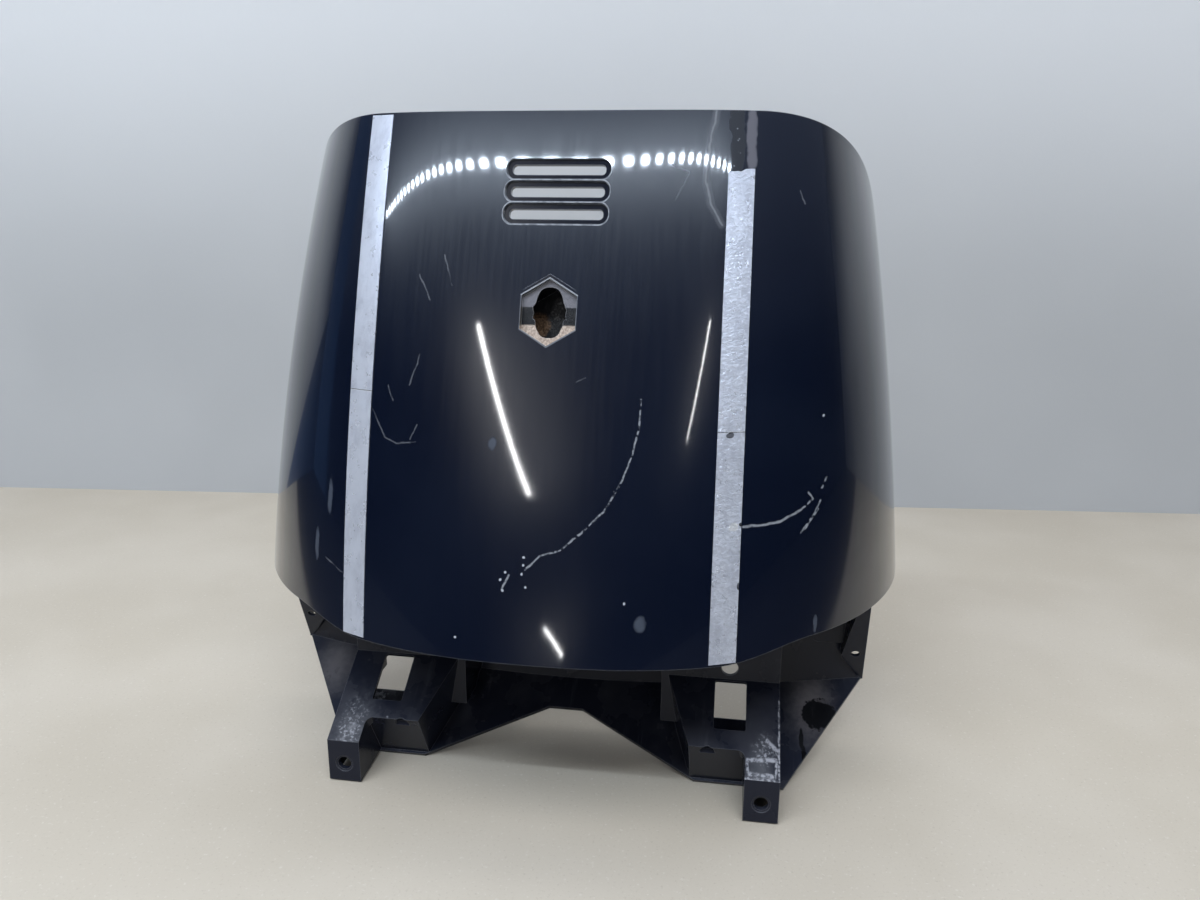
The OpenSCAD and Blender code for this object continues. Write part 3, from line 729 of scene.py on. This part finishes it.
colour = mix_colour(crease_shade, colour, (0.36, 0.38, 0.44, 1))
tape_surface = finish_surface(colour, band(noise(here, 160, 3), 0.3, 0.7, 0.26, 0.40), creases, 0.8, 0.6)
tape_surface.inputs["Metallic"].default_value = 0.45

tape_w, tape_t, tape_lift = 15, 0.4, 0.15


def tear(t):
    """How far the torn end stands above its mean, along the tape's width from 0 to 1."""
    return 1.5 * ease((t - 0.45) / 0.3) - 0.7 + 0.5 * math.sin(23 * t) * t * (1 - t)


def stripe(name, low, high, start, end, torn):
    """Tape from height start to end, along a middle line from x = low at the lip to high at the top."""
    across = 24
    up = max(8, round((end - start) / 1.5))
    points, faces = [], []
    for lift in (tape_lift + tape_t, tape_lift):
        for j in range(up + 1):
            for i in range(across + 1):
                stop = end + (tear(i / across) if torn else 0)
                z = start + (stop - start) * j / up
                x = low + (high - low) * level(z) + (i / across - 0.5) * tape_w
                points.append(on_face(x, z, lift))
    wide = across + 1
    back = wide * (up + 1)
    for j in range(up):
        for i in range(across):
            k = j * wide + i
            faces.append((k, k + 1, k + wide + 1, k + wide))
            faces.append((back + k, back + k + wide, back + k + wide + 1, back + k + 1))
    for i in range(across):
        faces.append((i, back + i, back + i + 1, i + 1))
        top = up * wide + i
        faces.append((top, top + 1, back + top + 1, back + top))
    for j in range(up):
        k = j * wide
        faces.append((k, k + wide, back + k + wide, back + k))
        k += across
        faces.append((k, back + k, back + k + wide, k + wide))
    piece = mesh_object(name, points, faces)
    piece.data.set_sharp_from_angle(angle=math.radians(40))
    piece.data.materials.append(tape)
    return piece


margin = 1.5
stripes = {
    "left_stripe_upper": (-109.9, -113.7, 249.3, lip_z + shield_h - margin, False),
    "left_stripe_lower": (-109.9, -113.7, lip_z + margin, 249.0, False),
    "right_stripe_upper": (107.1, 105.5, 234.3, 376, True),
    "right_stripe_lower": (107.1, 105.5, lip_z + margin, 234.0, False),
}
for name, (low, high, start, end, torn) in stripes.items():
    piece = stripe(name + "_tape", low, high, start, end, torn)
    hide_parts(name)
    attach(piece, "root")


# Floor and wall: a beige board that the fairing stands on, and a pale grey wall close behind it, which
# runs a little askew and is clear from behind, so that the fairing's inside can be seen. The board has a
# painted pool of light towards the front and the wall painted light towards its top. In reflections the
# board's front is painted near-black and the wall's far left end painted blue.
floor_paint, nodes, links = new_material("beige_board")
here = node("ShaderNodeTexCoord").outputs["Object"]
beige, light_beige = (0.53, 0.475, 0.39, 1), (0.58, 0.525, 0.44, 1)
dark_fleck, light_fleck, painted_front_light_beige = (0.36, 0.30, 0.24, 1), (0.80, 0.77, 0.72, 1), (0.84, 0.80, 0.72, 1)
board = mix_colour(band(noise(here, 5, 3), 0.35, 0.7), beige, light_beige)
board = mix_colour(times(band(noise(here, 520, 3), 0.58, 0.72), 0.30), board, dark_fleck)
board = mix_colour(times(band(noise(here, 380, 3), 0.60, 0.74), 0.25), board, light_fleck)
along_y = vector_calc("DOT_PRODUCT", here, (0, 1, 0), out=1)
# Painted light: the board grows lighter towards the front, where the lamps are.
board = mix_colour(band(along_y, -0.45, 0.0, 0.55, 0.0), board, painted_front_light_beige)
across = calc("ABSOLUTE", vector_calc("DOT_PRODUCT", here, (1, 0, 0), out=1))
beyond = band(calc("SUBTRACT", along_y, times(across, 0.5)), -0.34, -0.26, 1.0, 0.0)
# Painted reflection: in reflections the board in front of the bench is near-black, as a dark room.
painted_reflection_mask = times(node("ShaderNodeLightPath").outputs["Is Glossy Ray"], beyond)
board = mix_colour(painted_reflection_mask, board, (0.02, 0.02, 0.025, 1))
finish_surface(board, 0.8, noise(here, 500, 3), 0.1, 0.3)

wall_paint, nodes, links = new_material("grey_wall")
here = node("ShaderNodeTexCoord").outputs["Object"]
low_grey, low_grey_light, painted_lit_grey = (0.50, 0.52, 0.545, 1), (0.54, 0.56, 0.585, 1), (0.76, 0.79, 0.83, 1)
plaster = mix_colour(band(noise(here, 3, 2), 0.3, 0.7), low_grey, low_grey_light)
up_wall = vector_calc("DOT_PRODUCT", here, (0, 0, 1), out=1)
# Painted light: the wall grows lighter towards the top.
plaster = mix_colour(band(up_wall, 0.20, 0.62), plaster, painted_lit_grey)
wall_end = band(vector_calc("DOT_PRODUCT", here, (1, 0, 3), out=1), -1.05, -0.95, 1.0, 0.0)
# Painted reflection: in reflections the wall's far left end is blue.
painted_reflection_mask = times(node("ShaderNodeLightPath").outputs["Is Glossy Ray"], wall_end)
plaster = mix_colour(painted_reflection_mask, plaster, (0.06, 0.11, 0.24, 1))
finish_surface(plaster, 0.75, noise(here, 260, 4), 0.15, 0.4)
one_sided = node("ShaderNodeMixShader")
links.new(node("ShaderNodeNewGeometry").outputs["Backfacing"], one_sided.inputs[0])
links.new(nodes["Principled BSDF"].outputs[0], one_sided.inputs[1])
links.new(node("ShaderNodeBsdfTransparent").outputs[0], one_sided.inputs[2])
links.new(one_sided.outputs[0], nodes["Material Output"].inputs[0])


def plane(name, corners, material):
    mesh = bpy.data.meshes.new(name)
    mesh.from_pydata(corners, [], [(0, 1, 2, 3)])
    mesh.materials.append(material)
    piece = bpy.data.objects.new(name, mesh)
    scene.collection.objects.link(piece)
    return piece


floor_z = cad_box[0][2]
wall_left, wall_right = Vector((-0.862, 0.540, floor_z)), Vector((0.703, 0.697, floor_z))
run = (wall_right - wall_left).normalized()
far_left, far_right = wall_left - run * 4.2, wall_right + run * 4.2
room_h = 2.3
near = -2.6
far = 2.6
plane("floor", [(far_left.x, near, floor_z), (far_right.x, near, floor_z), (far_right.x, far, floor_z),
                (far_left.x, far, floor_z)], floor_paint)
plane("backdrop", [tuple(far_left), tuple(far_right), (far_right.x, far_right.y, room_h),
                   (far_left.x, far_left.y, room_h)], wall_paint)


# Light: a soft ceiling over the bench, with a strip of small lamps along its front edge and two tubes
# beyond it, in a room that is dark to the front.
def area_light(name, at, to, size_x, size_y, radiance, colour=(1, 1, 1), roll=0.0):
    light = bpy.data.lights.new(name, "AREA")
    light.shape = "RECTANGLE"
    light.size = size_x
    light.size_y = size_y
    light.energy = radiance * math.pi * size_x * size_y
    light.color = colour
    lamp = bpy.data.objects.new(name, light)
    turn = (Vector(to) - Vector(at)).to_track_quat("-Z", "Y").to_matrix().to_4x4()
    lamp.matrix_world = Matrix.Translation(Vector(at)) @ turn @ Matrix.Rotation(roll, 4, "Z")
    scene.collection.objects.link(lamp)
    return lamp


cool = (0.74, 0.86, 1.0)
warm = (1, 0.98, 0.95)
soft_panels = [area_light("front panel", (0, -1.1, 2.2), (0, -1.1, 0), 3.2, 1.3, 2.9, warm),
               area_light("wall panel", (0, 0.35, 1.5), (0, 0.60, 0), 3.2, 0.4, 1.3)]
for soft_panel in soft_panels:
    soft_panel.visible_glossy = False
    soft_panel.visible_camera = False
lamp_count, lamp_pitch, lamp_size, first_x, strip_y = 35, 0.1, 0.04, -2.5, -1.53
for k in range(lamp_count):
    x = first_x + lamp_pitch * k
    above, below = (x, strip_y, room_h - 0.02), (x, strip_y, 0)
    area_light("strip lamp %02d" % k, above, below, lamp_size, lamp_size, 300, cool)


def tube(name, a, b, width, radiance):
    a, b = Vector(a), Vector(b)
    middle = (a + b) / 2
    lamp = area_light(name, middle, middle - Vector((0, 0, 1)), width, (b - a).length, radiance)
    along = (b - a).normalized()
    aim = (Vector((0, 0, 0.25)) - middle).normalized()
    aside = along.cross(-aim).normalized()
    out = aside.cross(along).normalized()
    lamp.matrix_world = Matrix.Translation(middle) @ Matrix((aside, along, out)).transposed().to_4x4()


tube("tube left", (-1.2, -2.9, room_h), (-1.5, -6.5, room_h), 0.03, 90)
tube("tube right", (1.2, -2.9, room_h), (1.6, -5.2, room_h), 0.025, 60)
tube("low lamp", (-0.86, -4.9, 0.56), (-0.52, -4.95, 0.30), 0.03, 60)

world = bpy.data.worlds.new("room")
world.use_nodes = True
nodes, links = world.node_tree.nodes, world.node_tree.links
sky = nodes["Background"]
direction = node("ShaderNodeTexCoord").outputs["Generated"]
upward = vector_calc("DOT_PRODUCT", direction, (0, 0.25, 1), out=1)
room = mix_colour(band(upward, 0.15, 0.85), (0.012, 0.014, 0.020, 1), (0.34, 0.40, 0.53, 1))
to_left = vector_calc("DOT_PRODUCT", direction, (-1, 0, 0), out=1)
to_back = vector_calc("DOT_PRODUCT", direction, (0, 1, 0), out=1)
blue_side = times(band(to_left, 0.80, 0.84), band(to_back, -0.20, -0.14))
room = mix_colour(blue_side, room, (0.05, 0.10, 0.22, 1))
room = mix_colour(node("ShaderNodeLightPath").outputs["Is Camera Ray"], room, (0.72, 0.73, 0.75, 1))
links.new(room, sky.inputs[0])
sky.inputs[1].default_value = 1.0
scene.world = world


# Camera: above and in front of the fairing, turned a little to its left, as the photograph was taken.
focal_px, frame_px, sensor = 903, 1200, 36
camera_at = Vector((104.7, -492.4, 353.1)) * MM
camera_data = bpy.data.cameras.new("camera")
camera_data.sensor_width = sensor
camera_data.lens = focal_px / frame_px * sensor
camera = bpy.data.objects.new("camera", camera_data)
right = Vector((0.98920, 0.14633, 0.00830))
forward = Vector((-0.13935, 0.95650, -0.25629)).normalized()
right = (right - forward * right.dot(forward)).normalized()
up = right.cross(forward)
turn = Matrix((right, up, -forward)).transposed()
camera.matrix_world = Matrix.Translation(camera_at) @ turn.to_4x4()
scene.collection.objects.link(camera)
scene.camera = camera
